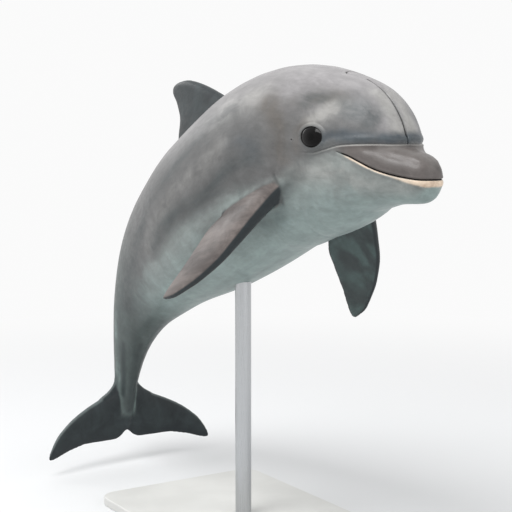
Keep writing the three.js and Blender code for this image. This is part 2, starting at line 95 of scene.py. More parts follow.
def places(points):
    """The places on the animal of many points of space."""
    found = np.empty_like(points)
    for start in range(0, len(points), PLACES_CHUNK):
        some = points[start : start + PLACES_CHUNK]
        apart = (some[:, :1] - spine_x) ** 2 + (some[:, 2:] - spine_z) ** 2
        near = np.argmin(apart, axis=1)
        turn = pitch_at(spine_at[near])
        off_x, off_z = some[:, 0] - spine_x[near], some[:, 2] - spine_z[near]
        along = -(off_x * np.cos(turn) + off_z * np.sin(turn))
        up = -off_x * np.sin(turn) + off_z * np.cos(turn)
        bend = (pitch_at(spine_at[near] + MM) - turn) / MM
        behind = spine_at[near] + along / (1 + bend * up)
        found[start : start + PLACES_CHUNK] = np.stack([behind, some[:, 1], up], 1)
    return found


# ---------------------------------------------------------------- working on pieces

WEIGHT_STEPS = 50


def choose(*pieces):
    """Selects only these pieces, the first one active."""
    bpy.ops.object.select_all(action="DESELECT")
    for piece in pieces:
        piece.select_set(True)
    bpy.context.view_layer.objects.active = pieces[0]


def shape_with(piece, kind, **settings):
    """Adds a modifier to a piece, sets it and applies it."""
    choose(piece)
    modifier = piece.modifiers.new(kind.title(), kind)
    for name, value in settings.items():
        setattr(modifier, name, value)
    bpy.ops.object.modifier_apply(modifier=modifier.name)


def edit(piece, *steps):
    """Selects all of a piece's mesh and runs edit-mode operators on it, given as (operator, settings)."""
    choose(piece)
    bpy.ops.object.mode_set(mode="EDIT")
    bpy.ops.mesh.select_all(action="SELECT")
    for operator, settings in steps:
        operator(**settings)
    bpy.ops.object.mode_set(mode="OBJECT")


def subdivide_where(piece, chosen):
    """Halves the edges of the faces all of whose corners are chosen."""
    choose(piece)
    bpy.ops.object.mode_set(mode="EDIT")
    bpy.ops.mesh.select_mode(type="VERT")
    bpy.ops.mesh.select_all(action="DESELECT")
    bpy.ops.object.mode_set(mode="OBJECT")
    piece.data.vertices.foreach_set("select", chosen)
    bpy.ops.object.mode_set(mode="EDIT")
    bpy.ops.mesh.select_mode(type="VERT")
    bpy.ops.mesh.subdivide(number_cuts=1)
    bpy.ops.object.mode_set(mode="OBJECT")


def points_of(piece, what="co"):
    """The points of a piece's mesh, or its vertex normals, as an array."""
    values = np.empty(len(piece.data.vertices) * 3, np.float32)
    piece.data.vertices.foreach_get(what, values)
    return values.reshape(-1, 3).astype(float)


def set_points(piece, points):
    piece.data.vertices.foreach_set("co", points.astype(np.float32).ravel())
    piece.data.update()


def set_weights(piece, name, weights):
    """Makes a vertex group from an array of weights, rounded to a few steps."""
    group = piece.vertex_groups.new(name=name)
    stepped = np.round(np.clip(weights, 0, 1) * WEIGHT_STEPS).astype(int)
    for step in np.unique(stepped):
        group.add(np.nonzero(stepped == step)[0].tolist(), step / WEIGHT_STEPS, "REPLACE")


def tree_of(piece):
    """A search tree of a piece's faces."""
    faces = [tuple(face.vertices) for face in piece.data.polygons]
    return BVHTree.FromPolygons([tuple(point) for point in points_of(piece)], faces)


def fade(value, none, full):
    """A smooth step from 0 where value is none to 1 where it is full."""
    t = np.clip((value - none) / (full - none), 0, 1)
    return t * t * (3 - 2 * t)


def hump(value, width):
    """A smooth hump, 1 at 0 and almost gone at twice the width."""
    return np.exp(-((value / width) ** 2))


# ---------------------------------------------------------------- the shapes of the fins

# Plans of the fins: share of the span, how far the leading edge is ahead of and the trailing edge behind the
# straight line that the span runs along, and thickness, in millimetres. A negative share is in the body.
DORSAL_PLAN = [
    (-0.16, 235, 250, 62), (0, 196, 228, 56), (0.25, 132, 196, 46), (0.52, 62, 158, 37), (0.72, 3, 160, 30),
    (0.88, -54, 172, 22), (1, -112, 184, 14),
]
FLUKE_PLAN = [
    (-0.03, 130, 84, 36), (0, 130, 84, 36), (0.08, 98, 106, 33), (0.17, 74, 116, 30), (0.29, 51, 116, 27),
    (0.49, 21, 114, 22), (0.67, -12, 124, 18), (0.85, -60, 142, 13), (1, -122, 164, 8),
]
FLIPPER_PLAN = [
    (-0.22, 30, 60, 42), (0, 46, 78, 46), (0.15, 56, 87, 43), (0.32, 73, 89, 37), (0.5, 86, 87, 30),
    (0.65, 82, 60, 24), (0.8, 67, 29, 17), (0.9, 53, 13, 13), (1, 30, 2, 9),
]
DORSAL = (1080, 0, 247)  # the middle of its root
FLUKE = (2285, 0, 0)
FLIPPER_AT, FLIPPER_UP = 521, -132
SPANS = {"dorsal": 230, "fluke": 340, "flipper": 489}
FLUKE_CUP = 40  # how far the tips of the flukes bend towards the belly
TIP_SHARE = 0.14  # the share of a fin's length over which its tip closes
TIP_SQUARE = 2.2  # how squarely it does
FIN_NOSE = 0.35  # how much fatter a fin is near its leading edge than half way
FIN_FULLNESS = 0.75  # 1 gives an elliptic section, less gives one that is fuller at its edges
FIN_CROWDING = 1.5  # how much closer together the rings of a fin's mesh are near its tip
FIN_GROW = 2 * MM  # smoothing wears the edges down


def pointing(at):
    """The directions ahead along the spine and up from it."""
    turn = float(pitch_at(at * MM))
    return np.array([np.cos(turn), 0, np.sin(turn)]), np.array([-np.sin(turn), 0, np.cos(turn)])


def tip_size(t):
    """The share of its full size that a fin has at a share of its length: none at the tip itself."""
    left = np.clip((1 - t) / TIP_SHARE, 0, 1)
    return (1 - (1 - left) ** TIP_SQUARE) ** (1 / TIP_SQUARE)


class Blade:
    """A fin: the middle of its root, the directions towards its tip and its leading edge, length and plan."""

    def __init__(self, root, span, chord, length, plan, bend=0):
        self.root = np.array(place(*(value * MM for value in root)))
        self.span = span
        self.chord = chord
        self.across = np.cross(chord, span)
        self.length = length * MM
        self.bend = bend * MM
        self.start = plan[0][0]
        lead, trail, thick = [smooth_curve([(row[0], row[i] * MM) for row in plan]) for i in (1, 2, 3)]
        self.middle = lambda t: (lead(t) - trail(t)) / 2
        self.half = lambda t: (lead(t) + trail(t)) / 2
        self.thick = thick

    def flesh(self, name):
        """The fin as a closed piece."""
        bpy.ops.mesh.primitive_uv_sphere_add(segments=80, ring_count=96, radius=1)
        piece = bpy.context.object
        piece.name = name
        x, y, z = points_of(piece).T
        run = 1 - np.arccos(np.clip(z, -1, 1)) / np.pi
        turn = np.arctan2(y, x)
        t = 1 - (1 - self.start) * (1 - run) ** FIN_CROWDING
        size = tip_size(t) * (run > 0.001)  # the root closes to a point too
        wide = (self.half(t) + FIN_GROW) * size * np.cos(turn)
        full = np.sign(np.sin(turn)) * np.abs(np.sin(turn)) ** FIN_FULLNESS * (1 + FIN_NOSE * np.cos(turn))
        deep = (self.thick(t) / 2 + FIN_GROW) * size * full + self.bend * t * t
        ways = np.stack([t * (self.length + FIN_GROW), self.middle(t) + wide, deep], 1)
        set_points(piece, self.root + ways @ np.array([self.span, self.chord, self.across]))
        edit(piece, (bpy.ops.mesh.normals_make_consistent, {"inside": False}))
        return piece

    def edges(self, points):
        """How far points are behind the leading edge, and ahead of the trailing edge."""
        t = (points - self.root) @ self.span / self.length
        ahead = (points - self.root) @ self.chord - self.middle(t)
        half = self.half(t) * tip_size(t)
        return half - ahead, half + ahead


def flipper(side, reach, out, back, twist):
    """A flipper that hangs out from the body and back towards the tail, its leading edge twisted in."""
    ahead, up = pointing(FLIPPER_AT)
    out, back, twist = np.radians([out, back, twist * side])
    down = np.array([0, side, 0]) * np.sin(out) - up * np.cos(out)
    span = down * np.cos(back) - ahead * np.sin(back)
    level = ahead * np.cos(back) + down * np.sin(back)
    chord = level * np.cos(twist) + np.cross(span, level) * np.sin(twist)
    return Blade((FLIPPER_AT, side * reach, FLIPPER_UP), span, chord, SPANS["flipper"], FLIPPER_PLAN)


tail_ahead = pointing(FLUKE[0])[0]
back_ahead, back_up = pointing(DORSAL[0])
BLADES = {
    "dorsal_fin": Blade(DORSAL, back_up, back_ahead, SPANS["dorsal"], DORSAL_PLAN),
    "flipper_left": flipper(1, 146, 17, 26, -26),
    "flipper_right": flipper(-1, 165, 29, 42, -1),
    "fluke_left": Blade(FLUKE, np.array([0, 1, 0]), tail_ahead, SPANS["fluke"], FLUKE_PLAN, -FLUKE_CUP),
    "fluke_right": Blade(FLUKE, np.array([0, -1, 0]), tail_ahead, SPANS["fluke"], FLUKE_PLAN, FLUKE_CUP),
}

# A web of flesh fills the corners between the tail stock and the leading edges of the flukes: how far ahead
# of the middle of the flukes' root, and its half width there.
WEB = [
    (38, 114), (48, 111), (57, 99), (67, 84), (77, 72), (87, 62), (99, 54), (113, 48.5), (130, 46), (180, 43),
]
WEB_THICK = 11 * MM
web_half = smooth_curve([(ahead * MM, half * MM) for ahead, half in WEB])


def tail_web():
    bpy.ops.mesh.primitive_grid_add(x_subdivisions=40, y_subdivisions=20, size=2)
    web = bpy.context.object
    x, y, _ = points_of(web).T
    ahead = (WEB[0][0] + (x + 1) / 2 * (WEB[-1][0] - WEB[0][0])) * MM
    aside = y * web_half(ahead)
    root = BLADES["fluke_left"].root
    set_points(web, root + ahead[:, None] * tail_ahead + aside[:, None] * (0, 1, 0))
    shape_with(web, "SOLIDIFY", thickness=WEB_THICK, offset=0)
    edit(web, (bpy.ops.mesh.normals_make_consistent, {"inside": False}))
    return web


# ---------------------------------------------------------------- the flesh under the skin

VOXEL = 3.9 * MM
GROW = 0.6 * MM  # more than half the gap between neighbours, so that they overlap


def grown_copy(node, name):
    """A copy of a CAD node's mesh as a piece of its own, its loose triangles merged, a little bigger."""
    piece = bpy.data.objects.new(name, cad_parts[node].data.copy())
    bpy.context.scene.collection.objects.link(piece)
    edit(piece, (bpy.ops.mesh.remove_doubles, {"threshold": 0.01 * MM}))
    shape_with(piece, "DISPLACE", strength=GROW, mid_level=0, direction="NORMAL")
    return piece


def unite(piece, other):
    shape_with(piece, "BOOLEAN", operation="UNION", solver="MANIFOLD", object=other)
    bpy.data.objects.remove(other)


skin = grown_copy(TRUNK[0], "skin")
for node in TRUNK[1:] + EYES:
    unite(skin, grown_copy(node, "flesh_" + node))
trunk_tree = tree_of(skin)
for node in FINS:
    unite(skin, BLADES[node].flesh("flesh_" + node))
unite(skin, tail_web())
shape_with(skin, "REMESH", mode="VOXEL", voxel_size=VOXEL)

# ---------------------------------------------------------------- the smooth skin

# How much each stretch of the trunk is smoothed, by metres along it: the narrower it is, the less.
SMOOTHING = smooth_curve([(0, 0.06), (0.1, 0.12), (0.3, 0.35), (0.45, 1), (1.5, 1), (1.9, 0.4), (2.3, 0.1)])
FIN_SMOOTHING = 0.22
FLUKE_SMOOTHING = 0.45  # in the corners where the flukes leave the tail stock
FLUKE_CORNERS = (2.19, 0.06)  # where along the animal those are, and how far they reach
SMOOTHING_ROUNDS = 100


def proud_of_trunk(points):
    """How far points stand off the trunk's surface."""
    return np.array([trunk_tree.find_nearest(Vector(point))[3] for point in points])


points = points_of(skin)
spot = places(points)
fin_share = fade(proud_of_trunk(points), 3 * MM, 22 * MM)
weights = SMOOTHING(spot[:, 0]) * (1 - fin_share) + FIN_SMOOTHING * fin_share
fluke_root = FLUKE_SMOOTHING * hump(spot[:, 0] - FLUKE_CORNERS[0], FLUKE_CORNERS[1])
fluke_root *= 1 - fade(np.abs(spot[:, 1]), 0.09, 0.15)
set_weights(skin, "smoothing", np.maximum(weights, fluke_root))
shape_with(skin, "SMOOTH", factor=0.5, iterations=SMOOTHING_ROUNDS, vertex_group="smoothing")
skin.vertex_groups.clear()

# ---------------------------------------------------------------- lines on the head

# Places in millimetres on the left, from the middle of the face backwards.
MOUTH = [
    (0, 0, -34), (11, 34, -35), (61, 62, -34), (121, 84, -27), (184, 107, -8), (215, 123, 3), (251, 137, 10),
]
CREASE = [
    (116, 0, 44), (119, 25, 44), (129, 50, 43), (145, 71, 42), (186, 105, 37),
    (238, 132, 28), (284, 146, 12), (334, 156, -4), (400, 168, -10),
]
FURROW = [(118, 0, 47), (148, 0, 104), (174, 0, 130), (212, 0, 156), (288, 0, 192), (340, 0, 205)]
BLOWHOLE = (372, 22)  # the middle of the crescent slit, and its radius
BLOWHOLE_SWEEP = 100  # degrees to each side
BLOWHOLE_UP = 210  # just over the skin, from where the slit is set on it
EAR = (410, 171, 22)


def line_on(tree, rows, spacing=1 * MM):
    """Points close together along a smooth line through places, each set on a surface."""
    corners = np.array([place(*(value * MM for value in row)) for row in rows])
    run = np.concatenate([[0], np.cumsum(np.linalg.norm(np.diff(corners, axis=0), axis=1))])
    stops = np.linspace(0, run[-1], int(run[-1] / spacing) + 1)
    smooth = np.stack([smooth_curve(np.stack([run, corners[:, axis]], 1))(stops) for axis in range(3)], 1)
    return np.array([tree.find_nearest(Vector(point))[0] for point in smooth])


def both_sides(rows):
    """A line that runs from the right round the middle of the face to the left."""
    return [(at, -side, up) for at, side, up in rows[:0:-1]] + rows


def off_line(points, line, reach=40 * MM):
    """How far points are from a line, up to a reach, and which share of the line is nearest them."""
    apart = np.full(len(points), reach)
    share = np.zeros(len(points))
    low, high = line.min(0) - reach, line.max(0) + reach
    close = np.nonzero(np.all((points > low) & (points < high), axis=1))[0]
    ahead = np.gradient(line, axis=0)
    ahead /= np.linalg.norm(ahead, axis=1, keepdims=True)
    for start in range(0, len(close), LINE_CHUNK):
        some = close[start : start + LINE_CHUNK]
        gaps = points[some, None, :] - line
        near = np.argmin((gaps**2).sum(-1), axis=1)
        gap = gaps[np.arange(len(some)), near]
        inner = ((near > 0) & (near < len(line) - 1))[:, None]
        gap = gap - inner * (gap * ahead[near]).sum(-1, keepdims=True) * ahead[near]
        apart[some] = np.minimum(np.linalg.norm(gap, axis=1), reach)
        share[some] = near / (len(line) - 1)
    return apart, share


def signed(apart, share, line, spot):
    """Distances from a line, less than zero below it."""
    heights = places(line)[:, 2]
    return apart * np.sign(spot[:, 2] - heights[np.round(share * (len(line) - 1)).astype(int)])


skin_tree = tree_of(skin)
mouth_line = line_on(skin_tree, both_sides(MOUTH))
crease_line = line_on(skin_tree, both_sides(CREASE))
furrow_line = line_on(skin_tree, FURROW)
slit = np.radians(np.linspace(-BLOWHOLE_SWEEP, BLOWHOLE_SWEEP, 9))
slit_rows = [(BLOWHOLE[0] + BLOWHOLE[1] * np.cos(a), BLOWHOLE[1] * np.sin(a), BLOWHOLE_UP) for a in slit]
blowhole_line = line_on(skin_tree, slit_rows)
ear_places = [place(EAR[0] * MM, side * EAR[1] * MM, EAR[2] * MM) for side in (1, -1)]
ears = np.array([skin_tree.find_nearest(ear)[0] for ear in ear_places])

# ---------------------------------------------------------------- eyes

EYE_RADIUS = (42.7 * MM, 30.5 * MM, 13 * MM)  # backwards, upwards and outwards
EYE_OPENING = 28 * MM  # upwards
EYE_TILT = 8  # degrees that it looks up
EYE_REACH = 40 * MM  # how far in and out from its middle a point can be and belong to it
CORNEA = 2 * MM  # how far it stands out of the ball
CORNEA_WIDTH = 15 * MM
LID_CORNER = (38 * MM, 50 * MM)  # where the crease at a corner of the lids starts and ends
LID_SLANT = 0.12  # how steeply it runs down
LID_REACH = 80 * MM
LID_THICK = 0.9 * MM
SOCKET_DEPTH = 3 * MM  # how far behind the ball's face the skin runs under it


def eye_frame(node, side):
    """The centre of an eye and its axes: back along the head, up the cheek, and out of the skin."""
    corners = np.array([v.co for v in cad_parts[node].data.vertices])
    centre = corners.mean(0)
    back = np.linalg.svd(corners - centre, full_matrices=False)[2][0]
    back *= -np.sign(back[0])
    tilt = np.radians(EYE_TILT)
    out = np.array([0, side * np.cos(tilt), np.sin(tilt)])
    out -= back * (out @ back)
    out /= np.linalg.norm(out)
    above = np.cross(out, back) * side
    return centre, np.array([back, above, out])


eye_frames = [eye_frame("eye_left", 1), eye_frame("eye_right", -1)]


def in_eye(points, eye):
    """Points in an eye's own axes, and their distance from its middle as if its opening were round."""
    centre, axes = eye
    local = (points - centre) @ axes.T
    round_off = np.hypot(local[:, 0] * EYE_RADIUS[1] / EYE_RADIUS[0], local[:, 1])
    return local, np.where(np.abs(local[:, 2]) < EYE_REACH, round_off, 1)


# ---------------------------------------------------------------- folds, lips and lids

# How deep the grooves are, in millimetres.
LIP_DEPTH = 4.6
CREASE_DEPTH = 2.4
FURROW_DEPTH = 4.2
SLIT_DEPTH = 4.5
EAR_DEPTH = 3

# Where three of them fade out.
LIPS_END = (0.96, 1)  # shares of the way back to the corner of the mouth
CREASE_END = (0.7, 1)  # the same along the crease
FURROW_END = (0.27, 0.335)  # metres along the head

# How near to each line the mesh is made finer, and then finer still, in millimetres.
FINER = {
    "mouth": (26, 9), "crease": (12, 6), "furrow": (9, 5),
    "blowhole": (12, 7), "ear": (8, 5), "eye": (60, 50),
}
HEAD_END = 0.43  # metres along the animal


def measure_head(points):
    """Everything about points that the folds and the colours of the head follow."""
    spot = places(points)
    mouth, mouth_share = off_line(points, mouth_line)
    crease, crease_share = off_line(points, crease_line)
    found = {
        "spot": spot,
        "mouth": signed(mouth, mouth_share, mouth_line, spot),
        "mouth_back": np.abs(mouth_share * 2 - 1),
        "crease": signed(crease, crease_share, crease_line, spot),
        "crease_back": np.abs(crease_share * 2 - 1),
        "furrow": off_line(points, furrow_line)[0],
        "blowhole": off_line(points, blowhole_line)[0],
        "ear": np.min([np.linalg.norm(points - ear, axis=1) for ear in ears], axis=0),
    }
    for eye in eye_frames:
        local, off = in_eye(points, eye)
        back, above = local[:, 0], local[:, 1]
        corner = np.hypot(above + LID_SLANT * np.abs(back), np.maximum(0, LID_CORNER[0] - np.abs(back)))
        corner += np.maximum(0, np.abs(back) - LID_CORNER[1])
        closer = off < found.get("eye", 1)
        found["eye"] = np.where(closer, off, found.get("eye", 1))
        found["eye_up"] = np.where(closer, above / np.maximum(off, 1 * MM), found.get("eye_up", 0))
        found["eye_corner"] = np.where(closer & (off < LID_REACH), corner, found.get("eye_corner", 1))
    return found


for level in (0, 1):
    head = measure_head(points_of(skin))
    nearby = [np.abs(head[name]) < reaches[level] * MM for name, reaches in FINER.items()]
    subdivide_where(skin, np.any(nearby, axis=0) & (head["spot"][:, 0] < HEAD_END))


def stroke(points, rows, width):
    """A soft stroke along a line through places on the left and its mirror image: 1 in its middle."""
    left = points * (1, 0, 1) + np.abs(points) * (0, 1, 0)
    line = line_on(skin_tree, rows, max(width * MM / 8, 1 * MM))
    return hump(off_line(left, line, 3 * width * MM)[0], width * MM)


points = points_of(skin)
head = measure_head(points)
lips = 1 - fade(head["mouth_back"], *LIPS_END)
roll = 1 - fade(head["mouth_back"], 0.5, 0.95)
fold = 1 - fade(head["crease_back"], *CREASE_END)
top = 1 - fade(head["spot"][:, 0], *FURROW_END)
upper = fade(head["eye_up"], -0.3, 0.5)

# Grooves and swellings: what each runs along, how far from it, how high and how wide it is, in millimetres,
# and how much of it there is at each point.
RELIEF = [
    ("mouth", 0, -LIP_DEPTH, 2, lips), ("mouth", 5.5, 0.9, 3, roll),
    ("crease", 0, -CREASE_DEPTH, 2.2, fold), ("crease", 13, 3, 9, fold), ("crease", -5.5, 1.5, 3.2, fold),
    ("furrow", 0, -FURROW_DEPTH, 2.3, top), ("furrow", 10, 1.2, 6, top),
    ("blowhole", 0, -SLIT_DEPTH, 1.8, 1), ("blowhole", 6.5, 1.4, 4, 1),
    ("ear", 0, -EAR_DEPTH, 2.2, 1), ("ear", 5, 0.6, 2.5, 1),
    ("eye", 32, 0.5, 3.5, 1), ("eye", 39.5, -0.7, 2.4, upper), ("eye", 46, 0.9, 7, upper),
    ("eye", 38, -0.4, 2, 1 - upper), ("eye", 43, 0.6, 5, 1 - upper), ("eye_corner", 0, -0.7, 2.2, 1),
]
# The lower lip swells too, and more broadly towards the tip of the beak.
LIP_SWELL = 2.2 * MM
LIP_GAP = 3 * MM
lip_width = (4 + 5 * (1 - fade(head["mouth_back"], 0, 0.5))) * MM
moves = LIP_SWELL * hump(head["mouth"] + LIP_GAP + lip_width, lip_width) * roll
for name, off, height, width, share in RELIEF:
    moves += height * MM * hump(head[name] - off * MM, width * MM) * share

# Soft folds: how deep, how wide, and the places on the left that each runs through.
FOLDS = [
    (0.9, 9, [(455, 178, 30), (452, 182, -15), (462, 181, -50), (480, 176, -80)]),
    (0.6, 7, [(476, 183, 5), (474, 184, -30), (484, 180, -62)]),
    (0.8, 9, [(432, 172, 15), (430, 176, -25), (444, 175, -65), (462, 163, -110)]),
    (2.4, 6, [(478, 178, -84), (464, 166, -112), (466, 154, -138), (484, 142, -160)]),
    (1.3, 7, [(30, 40, 2), (70, 52, 12), (120, 76, 22), (170, 100, 24)]),
    (-1.0, 8, [(30, 30, 10), (70, 38, 22), (110, 52, 33)]),
    (1.0, 5, [(215, 116, -14), (262, 132, 0), (290, 142, 4)]),
    (1.2, 8, [(300, 148, -40), (262, 128, -66), (220, 100, -88)]),
    (1.4, 9, [(352, 120, -128), (380, 60, -166), (392, 0, -178)]),
    (1.4, 9, [(405, 110, -164), (432, 60, -198), (442, 0, -208)]),
]
for depth, width, rows in FOLDS:
    moves -= depth * MM * stroke(points, rows, width)
points += points_of(skin, "normal") * moves[:, None]

for eye in eye_frames:
    local, off = in_eye(points, eye)
    ball = EYE_RADIUS[2] * np.sqrt(np.clip(1 - (off / EYE_RADIUS[1]) ** 2, 0, 1))
    lid = LID_THICK * fade(off, EYE_OPENING - 1.5 * MM, EYE_OPENING)
    under = ball - SOCKET_DEPTH * (1 - fade(off, EYE_OPENING - 2.5 * MM, EYE_OPENING)) + lid
    inside = off < EYE_OPENING
    points[inside] += ((under - local[:, 2])[:, None] * eye[1][2])[inside]
set_points(skin, points)

# ---------------------------------------------------------------- fewer faces where the skin is plain

FACES = 190000
shape_with(skin, "TRIANGULATE")
shape_with(skin, "DECIMATE", ratio=FACES / len(skin.data.polygons))
choose(skin)
bpy.ops.object.shade_smooth()
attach(skin, "root")
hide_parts(*TRUNK, *FINS)

# ---------------------------------------------------------------- what the colours follow


def sunk(line, depths):
    """A line on the smooth skin let straight into it."""
    hits = [skin_tree.find_nearest(Vector(point)) for point in line]
    return np.array([np.array(hit[0]) - np.array(hit[1]) * depth for hit, depth in zip(hits, depths)])


def back_along(line):
    """0 in the middle of a line round the face, 1 at its two ends."""
    return np.abs(np.linspace(-1, 1, len(line)))


mouth_line = sunk(mouth_line, LIP_DEPTH * MM * (1 - fade(back_along(mouth_line), *LIPS_END)))
crease_line = sunk(crease_line, CREASE_DEPTH * MM * (1 - fade(back_along(crease_line), *CREASE_END)))
furrow_line = sunk(furrow_line, FURROW_DEPTH * MM * (1 - fade(places(furrow_line)[:, 0], *FURROW_END)))
blowhole_line = sunk(blowhole_line, np.full(len(blowhole_line), SLIT_DEPTH * MM))
ears = sunk(ears, np.full(len(ears), EAR_DEPTH * MM))


def note(piece, name, values):
    """Keeps a value for each point of a piece's mesh, for its material to read."""
    kind = "FLOAT" if values.ndim == 1 else "FLOAT_VECTOR"
    field = piece.data.attributes.new(name, kind, "POINT")
    field.data.foreach_set("value" if values.ndim == 1 else "vector", values.astype(np.float32).ravel())


points = points_of(skin)
normals = points_of(skin, "normal")
head = measure_head(points)
spot = head["spot"]
at, side, up = spot.T
fin_share = fade(proud_of_trunk(points), 1 * MM, 8 * MM)

# How far up the pale underside, the mouth and the crease over the beak reach, along the animal.
PALE_TOP = [
    (0, -33), (121, -26), (184, -7), (251, 8), (300, -5), (360, -35), (430, -75), (520, -115), (700, -118),
    (820, -119), (970, -98), (1100, -101), (1275, -121), (1400, -120), (1520, -140), (1640, -190),
    (1760, -260),
]
MOUTH_START, MOUTH_END = (-1, -35), (330, -5)  # the mouth's line carried on, before and behind the lips
CREASE_START = (100, 150)  # well above the beak, so that all in front of the crease is under it


def height_along(rows):
    return smooth_curve([(row[0] * MM, row[-1] * MM) for row in rows])(at)


above_mouth = up - height_along([MOUTH_START] + MOUTH[1:] + [MOUTH_END])
above_crease = up - height_along([CREASE_START] + CREASE)
beak = fade(above_mouth, -2 * MM, 2 * MM) * (1 - fade(above_crease, -4 * MM, 2 * MM))
beak *= 1 - fade(at, 0.2, 0.29)
pale = 1 - fade(up - height_along(PALE_TOP), -30 * MM, 30 * MM)
lip_end = -(6 + 11 * (1 - fade(head["mouth_back"], 0, 0.5))) * MM
lower_lip = fade(head["mouth"], lip_end - 4 * MM, lip_end + 1 * MM)
lower_lip *= 1 - fade(head["mouth"], -4.6 * MM, -3.4 * MM)
lower_lip *= (np.abs(head["mouth"]) < 39 * MM) * (1 - fade(head["mouth_back"], 0.75, 0.97))

# Strokes of the brush: the name of the tone, how strong, how wide, and the places on the left along it.
TONES = ("dark", "shade", "slate", "pale_and_highlight", "brown", "blue", "beak_top_highlight", "rim_light", "root", "root_crease_shade")
STROKES = [
    ("dark", 0.45, 34, [(640, 195, 130), (710, 203, 108), (940, 228, 64), (1080, 231, 40), (1220, 220, 17)]),
    ("dark", 0.6, 30, [
        (1220, 220, 17), (1295, 207, -14), (1515, 161, -52), (1670, 126, -56), (1770, 102, -60),
    ]),
    ("root", 0.9, 14, [(474, 172, -108), (478, 166, -130), (490, 156, -152)]),
    # Painted shade in the crease round the root of the flipper.
    ("root_crease_shade", 0.5, 6, [(478, 178, -88), (462, 166, -110), (463, 156, -136), (476, 146, -158)]),
    # Painted shadow on the belly under the near flipper.
    ("shade", 0.6, 32, [(490, 140, -178), (520, 135, -200), (580, 140, -205), (680, 150, -195)]),
    ("dark", 0.5, 46, [(555, 202, -20), (600, 208, -36), (660, 214, -46)]),
    ("dark", 0.8, 34, [
        (660, 214, -46), (790, 227, -70), (920, 227, -82), (1060, 228, -70), (1270, 198, -98),
    ]),
    ("slate", 0.35, 22, [(1890, 54, -100), (1925, 46, -100)]),
    ("slate", 0.35, 20, [(1985, 28, -98), (2020, 22, -92)]),
    ("slate", 0.4, 14, [(1990, 58, -50), (2066, 45, -45), (2158, 34, -40), (2222, 24, -30)]),
    ("slate", 0.5, 15, [(1950, 20, -112), (2040, 14, -92), (2120, 10, -74), (2222, 6, -50), (2290, 4, -30)]),
    # Paler bands and patches: partly the skin's own paler grey, partly painted highlight.
    ("pale_and_highlight", 0.2, 32, [(683, 219, 26), (805, 234, 1), (955, 236, 0), (1155, 227, -40), (1310, 194, -83)]),
    # Painted sheen: pale rim light along the edges of the tail stock and of its tongue.
    ("rim_light", 0.45, 15, [(1880, 98, 0), (1960, 78, 0), (2050, 60, -4), (2140, 50, -8)]),
    ("rim_light", 0.5, 7, [(2100, 44, -20), (2158, 38, -18), (2222, 33, -14), (2280, 28, -10)]),
    ("rim_light", 0.25, 10, [(2290, 24, -12), (2304, 10, -20), (2306, 0, -22)]),
    ("slate", 0.25, 30, [(1700, 110, -110), (1790, 95, -80)]),
    # Paler patches on the head: partly the skin's own, partly painted highlight.
    ("pale_and_highlight", 0.85, 26, [(352, 150, 80), (330, 140, 95), (312, 130, 108), (300, 122, 118)]),
    ("pale_and_highlight", 0.3, 30, [(300, 146, -45), (230, 130, -40), (380, 160, -60)]),
    ("pale_and_highlight", 0.9, 26, [(122, 20, 62), (150, 22, 102), (178, 24, 130), (230, 26, 162)]),
    ("pale_and_highlight", 0.3, 26, [(50, 46, -60), (120, 75, -66), (170, 95, -64)]),
    ("pale_and_highlight", 0.35, 50, [(560, 160, 150), (640, 180, 135), (720, 190, 125)]),
    # A brownish band from behind the eye down towards the flipper: partly the skin's own colour, partly
    # painted shade in the hollow of the neck.
    ("brown", 0.6, 38, [(525, 170, 115), (480, 178, 80), (462, 178, 50), (460, 182, 0), (448, 178, -34)]),
    ("brown", 0.35, 34, [(455, 172, 85), (430, 152, 116), (392, 130, 138), (332, 107, 152), (266, 89, 150)]),
    ("dark", 1.0, 31, [(392, 130, 138), (332, 112, 146), (266, 98, 138), (215, 88, 120), (190, 80, 112)]),
    ("dark", 0.6, 24, [(330, 156, -14), (375, 160, -57), (410, 157, -95), (450, 152, -125)]),
    ("brown", 0.4, 24, [(372, 156, 70), (392, 165, 40), (388, 168, 5)]),
    # Painted shade along the furrow.
    ("dark", 0.6, 7, [(120, 0, 52), (148, 0, 104), (174, 0, 130), (212, 0, 156), (250, 0, 174)]),
    # A bluish dark band above the crease: partly the dark band from eye to beak, partly painted shadow under
    # the melon's overhang.
    ("blue", 1.0, 17, [
        (300, 146, 34), (275, 139, 50), (215, 118, 54), (167, 88, 57), (132, 49, 57), (119, 0, 60),
    ]),
    ("blue", 0.3, 38, [(560, 208, -10), (600, 208, 10), (640, 212, 5)]),
    ("blue", 0.2, 50, [(238, 76, 147), (175, 55, 114)]),
    # Painted highlight along the top of the upper beak.
    ("beak_top_highlight", 0.18, 13, [(8, 0, 4), (50, 12, 18), (80, 20, 27), (112, 34, 36), (150, 62, 36)]),
]
tones = {name: np.zeros(len(points)) for name in TONES}
for name, strength, width, rows in STROKES:
    tones[name] = np.maximum(tones[name], strength * stroke(points, rows, width))

